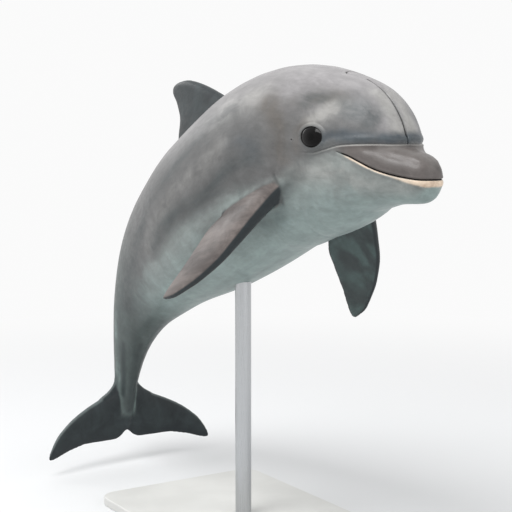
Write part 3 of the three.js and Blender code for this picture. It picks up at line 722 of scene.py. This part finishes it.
# On each fin: how far from its leading and trailing edges, and how much it faces outwards.
WEB_RIM = 0.75  # the web's edge runs aslant, so distances to it are shorter than straight across
WEB_RIM_END = 0.13
lead = np.ones(len(points))
trail = np.ones(len(points))
face = np.zeros(len(points))
on_fin = np.nonzero(fin_share > 0)[0]
fin_trees = [tree_of(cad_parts[node]) for node in FINS]
gaps = [[tree.find_nearest(Vector(point))[3] for point in points[on_fin]] for tree in fin_trees]
nearest = np.argmin(gaps, axis=0)
on_flipper = np.zeros(len(points))
for number, node in enumerate(FINS):
    mine = on_fin[nearest == number]
    blade = BLADES[node]
    lead[mine], trail[mine] = blade.edges(points[mine])
    outwards = np.sign(blade.across @ (0, blade.root[1], 0.3))  # or upwards, on a level fin
    face[mine] = normals[mine] @ blade.across * outwards
    if node.startswith("flipper"):
        on_flipper[mine] = 1
    if node == "dorsal_fin":  # it has no pale rim
        lead[mine] += 0.02
    if node.startswith("fluke"):  # the web carries the rim on
        ahead = (points[mine] - blade.root) @ blade.chord
        off_web = WEB_RIM * (web_half(ahead) - np.abs(side[mine]))
        lead[mine] = np.maximum(lead[mine], off_web - (ahead > WEB_RIM_END))

# How much of the fins' own colours shows. The tail stock's colour runs on in a tongue between the flukes.
off_tongue = np.maximum(fin_share * fade(np.abs(side), 0.02, 0.038), fade(at, 2.285, 2.33))
fin_cover = np.where(at > 2.1, off_tongue, fin_share)

# How high the middle of the body lies, in millimetres, by metres along the animal. The colours of back and
# flanks follow how far a point is turned round it, from 0 on top to 1 below.
MIDDLE_UP = [
    (0, -39), (0.2, -5), (0.38, -17), (0.56, -30), (0.74, -25), (1.1, -23), (1.46, -30), (1.82, -21),
    (2.3, 0),
]
middle_at, middle_up = np.array(MIDDLE_UP).T
turn = np.arctan2(np.abs(side), up - np.interp(at, middle_at, middle_up * MM)) / np.pi

note(skin, "spot", spot)
note(skin, "turn", turn)
note(skin, "pale", pale)
note(skin, "beak", beak)
note(skin, "lower_lip", lower_lip)
note(skin, "fin", fin_cover)
note(skin, "lead", lead)
note(skin, "trail", trail)
note(skin, "face", face)
# Distances from the lines are kept in millimetres. Where a line ends, it counts as farther off.
note(skin, "mouth", np.abs(head["mouth"] / MM) + 5 * fade(head["mouth_back"], 0.9, 0.985))
note(skin, "crease", np.minimum(np.abs(head["crease"] / MM + 3.5), 20))
note(skin, "crease_front", (1 - fade(head["crease_back"], 0.5, 0.85)) * (np.abs(head["crease"]) < 30 * MM))
note(skin, "furrow", head["furrow"] / MM + 40 * fade(at, 0.31, 0.345))
note(skin, "blowhole", head["blowhole"] / MM)
note(skin, "ear", head["ear"] / MM)
note(skin, "eye", np.minimum(head["eye"] / MM, 200))
note(skin, "flipper", on_flipper * fin_share)
for name, values in tones.items():
    note(skin, name, values)

# ---------------------------------------------------------------- eyeballs


def eyeball(name, node, eye):
    bpy.ops.mesh.primitive_uv_sphere_add(segments=64, ring_count=40, radius=1)
    ball = bpy.context.object
    ball.name = name
    local = points_of(ball) * EYE_RADIUS
    off = np.hypot(local[:, 0] * EYE_RADIUS[1] / EYE_RADIUS[0], local[:, 1])
    local[:, 2] += CORNEA * hump(off, CORNEA_WIDTH) * (local[:, 2] > 0)
    set_points(ball, eye[0] + local @ eye[1])
    edit(ball, (bpy.ops.mesh.normals_make_consistent, {"inside": False}))
    choose(ball)
    bpy.ops.object.shade_smooth()
    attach(ball, "root")
    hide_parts(node)
    return ball


eyeballs = [eyeball(node.replace("eye", "eyeball"), node, eye) for node, eye in zip(EYES, eye_frames)]

# ---------------------------------------------------------------- finishes


class Finish:
    """A material, and short names for the nodes that it is made of."""

    def __init__(self, name):
        self.material = bpy.data.materials.new(name)
        self.material.use_nodes = True
        self.nodes = self.material.node_tree.nodes
        self.links = self.material.node_tree.links
        self.surface = self.nodes["Principled BSDF"]

    def put(self, socket, value):
        if isinstance(value, bpy.types.NodeSocket):
            self.links.new(value, socket)
        else:
            socket.default_value = value

    def make(self, kind, inputs=(), **settings):
        made = self.nodes.new("ShaderNode" + kind)
        for name, value in settings.items():
            setattr(made, name, value)
        for key, value in dict(inputs).items():
            self.put(made.inputs[key], value)
        return made

    def set(self, **inputs):
        for name, value in inputs.items():
            self.put(self.surface.inputs[name.replace("_", " ")], value)

    def noted(self, name):
        """A value kept for each point of the mesh."""
        made = self.make("Attribute", attribute_name=name)
        return made.outputs["Vector" if name == "spot" else "Fac"]

    def sum(self, operation, a, b=0.0):
        return self.make("Math", {0: a, 1: b}, operation=operation).outputs[0]

    def fade(self, value, none, full, low=0.0, high=1.0):
        inputs = {0: value, 1: none, 2: full, 3: low, 4: high}
        return self.make("MapRange", inputs, interpolation_type="SMOOTHSTEP").outputs[0]

    def mix(self, share, a, b, kind="MIX"):
        return self.make("Mix", {0: share, 6: a, 7: b}, data_type="RGBA", blend_type=kind).outputs[2]

    def noise(self, where, scale, detail, roughness, stretch=(1, 1, 1), bend=0.0):
        mapped = self.make("Mapping", {"Vector": where, "Scale": stretch}).outputs[0]
        inputs = {"Vector": mapped, "Scale": scale, "Detail": detail}
        inputs |= {"Roughness": roughness, "Distortion": bend}
        return self.make("TexNoise", inputs).outputs[0]

    def bump(self, height, strength, distance, under=None):
        inputs = {"Height": height, "Strength": strength, "Distance": distance}
        if under:
            inputs["Normal"] = under
        return self.make("Bump", inputs).outputs[0]


def tone(red, green, blue):
    """A colour given as it looks on a screen, 0 to 255."""
    return tuple(((value / 255 + 0.055) / 1.055) ** 2.4 for value in (red, green, blue)) + (1,)


LIT_BACK = tone(136, 134, 135)
SHADED_FLANK = tone(91, 91, 91)
DARK = tone(60, 65, 66)
PALE_AND_HIGHLIGHT = tone(146, 145, 142)
PALE = tone(120, 126, 124)
BELLY = tone(126, 140, 138)
BROWN = tone(84, 80, 76)
BLUE = tone(64, 70, 75)
MAUVE = tone(84, 79, 77)
CREAM = tone(206, 188, 168)
PEACH = tone(166, 142, 122)
TAIL = tone(72, 81, 80)
SLATE = tone(28, 35, 38)
RIM = tone(80, 88, 88)
EDGE = tone(38, 46, 48)
FLIPPER = tone(74, 68, 66)
FLIPPER_LIGHT = tone(98, 91, 88)
GROOVE_SHADE = tone(8, 8, 8)
INNER = tone(48, 56, 57)
TEAL = tone(68, 84, 83)
SHADOW_UNDER_FLIPPER = tone(84, 98, 97)
RIM_LIGHT = tone(110, 126, 123)

hide = Finish("dolphin_skin")
spot_at = hide.noted("spot")
turn_at = hide.noted("turn")
along = hide.make("SeparateXYZ", {0: spot_at}).outputs[0]
streaks = hide.noise(spot_at, 10, 4, 0.6, (0.3, 2, 2), 0.4)
clouds = hide.noise(spot_at, 13, 4, 0.6, (1, 1, 1), 0.6)
fine = hide.noise(spot_at, 70, 3, 0.6, (0.5, 1, 1))
patches = hide.noise(spot_at, 32, 4, 0.65, (0.7, 1.3, 1.3), 0.5)
specks = hide.noise(spot_at, 420, 2, 0.5)
ragged = hide.fade(streaks, 0.3, 0.7, -1.0, 1.0)
cloudy = hide.fade(clouds, 0.3, 0.7, -1.0, 1.0)


def uneven(value, edge, much):
    """A value made uneven by noise, most where it is halfway."""
    room = hide.sum("MULTIPLY", hide.fade(value, 0.0, 0.4), much)
    return hide.make("Clamp", {0: hide.sum("ADD", value, hide.sum("MULTIPLY", edge, room))}).outputs[0]


def brushed_on(under, name, over, edge=cloudy, much=0.25):
    return hide.mix(uneven(hide.noted(name), edge, much), under, over)


def shifted(value, edge, much):
    return hide.sum("ADD", value, hide.sum("MULTIPLY", edge, much))


# Lighter on top and darker down the flanks: painted light from above, over the skin's own grey.
colour = hide.mix(hide.fade(shifted(turn_at, ragged, 0.04), 0.08, 0.36), LIT_BACK, SHADED_FLANK)
colour = hide.mix(hide.fade(along, 1.25, 1.9), colour, TAIL)
colour = brushed_on(colour, "pale", PALE, ragged, 0.2)
under = hide.mix(hide.fade(along, 1.4, 1.85), BELLY, TAIL)
colour = hide.mix(hide.fade(shifted(turn_at, cloudy, 0.03), 0.6, 0.85), colour, under)
colour = brushed_on(colour, "dark", DARK, ragged, 0.3)
# Painted shadow under the flipper.
colour = brushed_on(colour, "shade", SHADOW_UNDER_FLIPPER)
colour = brushed_on(colour, "slate", SLATE, ragged, 0.2)
# Paler skin and painted highlight, laid on together.
colour = brushed_on(colour, "pale_and_highlight", PALE_AND_HIGHLIGHT)
# Painted rim light on the tail stock.
colour = brushed_on(colour, "rim_light", RIM_LIGHT)
colour = brushed_on(colour, "brown", BROWN)
colour = brushed_on(colour, "blue", BLUE)
# The beak in its own mauve, its top lighter with painted highlight.
colour = hide.mix(hide.noted("beak"), colour, hide.mix(hide.noted("beak_top_highlight"), MAUVE, PALE_AND_HIGHLIGHT))

fin = hide.noted("fin")
flipper = hide.noted("flipper")
lead = hide.noted("lead")
trail = hide.noted("trail")
blade = hide.mix(hide.fade(trail, 0.0, 0.05), SLATE, hide.mix(hide.fade(clouds, 0.3, 0.7), SLATE, EDGE))
blade = hide.mix(hide.fade(lead, 0.011, 0.003), blade, RIM)
outer = hide.mix(hide.fade(streaks, 0.36, 0.66), FLIPPER, FLIPPER_LIGHT)
inner = hide.mix(hide.fade(hide.noise(spot_at, 9, 2, 0.5), 0.38, 0.64), INNER, TEAL)
paddle = hide.mix(hide.fade(hide.noted("face"), -0.7, -0.1), inner, outer)
edges = hide.fade(hide.sum("MINIMUM", lead, trail), 0.009, 0.003)
paddle = hide.mix(edges, paddle, SLATE)
colour = hide.mix(hide.noted("root"), colour, FLIPPER)
# Painted shade in the crease at the flipper's root.
colour = hide.mix(hide.noted("root_crease_shade"), colour, SLATE)
colour = hide.mix(fin, colour, hide.mix(flipper, blade, paddle))

lip_colour = hide.mix(hide.fade(clouds, 0.5, 0.66), CREAM, PEACH)
colour = hide.mix(uneven(hide.noted("lower_lip"), cloudy, 0.3), colour, lip_colour)

for noise, much in ((fine, 0.06), (patches, 0.1), (clouds, 0.1), (streaks, 0.1)):
    mottle = hide.fade(noise, 0.25, 0.75, 1 - much, 1 + much)
    grey = hide.make("CombineColor", {0: mottle, 1: mottle, 2: mottle}).outputs[0]
    colour = hide.mix(1.0, colour, grey, "MULTIPLY")


def line(name, inner, outer, at=0.0, much=1.0):
    """A band round a kept distance in millimetres: whole within inner, gone at outer."""
    off = hide.sum("ABSOLUTE", hide.sum("SUBTRACT", hide.noted(name), at))
    return hide.fade(off, outer, inner, 0.0, much)


# A pale line along the shelf just under the crease: painted highlight where the upper lip's ridge catches the
# light.
crease_share = hide.sum("MULTIPLY", line("crease", 0.0, 4.2, 0.0, 0.7), hide.noted("crease_front"))
colour = hide.mix(crease_share, colour, PALE_AND_HIGHLIGHT)
# A soft dark ring round the eye: painted shade over the lids' bulge.
colour = hide.mix(line("eye", 1, 9, 30, 0.4), colour, DARK)
# Near black in the grooves of the mouth, the blowhole, the ears and the furrow, and round the edge of the
# lids: painted shade in the grooves.
SHADED_GROOVES = [("blowhole", 2, 4.6), ("ear", 1, 3.5), ("furrow", 1.5, 5, 0, 0.75), ("eye", 1, 3.6, 27)]
lines = line("mouth", 2.4, 4.2)
for row in SHADED_GROOVES:
    lines = hide.sum("MAXIMUM", lines, line(*row))
colour = hide.mix(lines, colour, GROOVE_SHADE)

texture = hide.bump(specks, 0.15, 0.0006)
texture = hide.bump(streaks, 0.12, 0.006, texture)
hide.set(Base_Color=colour, Normal=texture)
hide.set(Roughness=hide.sum("ADD", hide.fade(fine, 0.3, 0.7, 0.38, 0.5), hide.sum("MULTIPLY", lines, 0.4)))
hide.set(Specular_IOR_Level=0.3, Coat_Weight=0.1, Coat_Roughness=0.22)
skin.data.materials.clear()
skin.data.materials.append(hide.material)

wet = Finish("eye")
seen = wet.noted("round")
iris = wet.noise(wet.noted("spot"), 300, 3, 0.6)
shade = wet.mix(wet.fade(iris, 0.3, 0.7), tone(5, 5, 5), tone(12, 11, 11))
shade = wet.mix(wet.fade(seen, 9, 13), tone(1, 1, 1), shade)
shade = wet.mix(wet.fade(seen, 22, 28), shade, tone(12, 12, 12))
wet.set(Base_Color=shade, Roughness=wet.fade(iris, 0, 1, 0.1, 0.14), Specular_IOR_Level=0.12)
for ball, eye in zip(eyeballs, eye_frames):
    local, off = in_eye(points_of(ball), eye)
    note(ball, "round", off / MM)
    note(ball, "spot", local)
    ball.data.materials.append(wet.material)

paint = Finish("base_paint")
where = paint.make("TexCoord").outputs["Object"]
grain = paint.noise(where, 900, 2, 0.5)
cloud = paint.noise(where, 6, 3, 0.5)
paint.set(Base_Color=paint.mix(paint.fade(cloud, 0.3, 0.7), tone(196, 196, 193), tone(204, 204, 201)))
paint.set(Roughness=paint.fade(grain, 0.3, 0.7, 0.42, 0.5), Normal=paint.bump(grain, 0.08, 0.0003))
steel = Finish("rod_steel")
where = steel.make("TexCoord").outputs["Object"]
brushed = steel.noise(where, 1500, 2, 0.5, (1, 1, 0.01))
steel.set(Base_Color=steel.mix(brushed, tone(176, 178, 180), tone(190, 192, 194)), Metallic=1.0)
steel.set(Roughness=steel.fade(brushed, 0.2, 0.8, 0.25, 0.4), Normal=steel.bump(brushed, 0.04, 0.0002))
for name, finish in (("stand_base", paint), ("stand_rod", steel)):
    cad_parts[name].data.materials.clear()
    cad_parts[name].data.materials.append(finish.material)

# ---------------------------------------------------------------- camera

LENS = 87.05  # millimetres
CAMERA_AT = (3.3485, -2.0844, 1.3046)
CAMERA_AIM = Vector((-0.0716, 0.0945, 0.8641))

camera = bpy.data.objects.new("camera", bpy.data.cameras.new("camera"))
bpy.context.scene.collection.objects.link(camera)
bpy.context.scene.camera = camera
camera.data.lens = LENS
camera.location = CAMERA_AT
camera.rotation_euler = (CAMERA_AIM - camera.location).to_track_quat("-Z", "Y").to_euler()

# ---------------------------------------------------------------- studio

WHITE = 0.96
FLOOR_RADIUS = 60
FLOOR_FADE = (1.2, 4.5)  # how far out the lit floor turns into the plain white round it
LIGHTS_AIM = Vector((0, 0, 0.9))

bpy.ops.mesh.primitive_circle_add(vertices=96, radius=FLOOR_RADIUS, fill_type="NGON")
floor = bpy.context.object
floor.name = "floor"
ground = Finish("floor")
where = ground.make("TexCoord").outputs["Object"]
spread = ground.make("VectorMath", {0: where}, operation="LENGTH").outputs["Value"]
ground.set(Base_Color=tone(214, 215, 216), Roughness=0.6, Specular_IOR_Level=0.1)
far = ground.make("Emission", {"Color": (WHITE, WHITE, WHITE, 1), "Strength": 1.0}).outputs[0]
near = ground.surface.outputs[0]
share = ground.fade(spread, *FLOOR_FADE)
both = ground.make("MixShader", {0: share, 1: near, 2: far}).outputs[0]
ground.put(ground.nodes["Material Output"].inputs["Surface"], both)
floor.data.materials.append(ground.material)


def softbox(name, location, size, power):
    box = bpy.data.objects.new(name, bpy.data.lights.new(name, "AREA"))
    bpy.context.scene.collection.objects.link(box)
    box.location = location
    box.rotation_euler = (LIGHTS_AIM - box.location).to_track_quat("-Z", "Y").to_euler()
    box.data.size = size
    box.data.energy = power


softbox("key", (0.4, -2.4, 4.9), 2.4, 185)
softbox("rim", (-4.2, -0.9, 3.0), 1.4, 17)
softbox("fill", (4.5, 0.5, 2.2), 2.5, 25)

world = bpy.data.worlds.new("studio")
bpy.context.scene.world = world
world.use_nodes = True
world.node_tree.nodes["Background"].inputs["Color"].default_value = (WHITE, WHITE, WHITE, 1)
bpy.context.scene.view_settings.view_transform = "Standard"
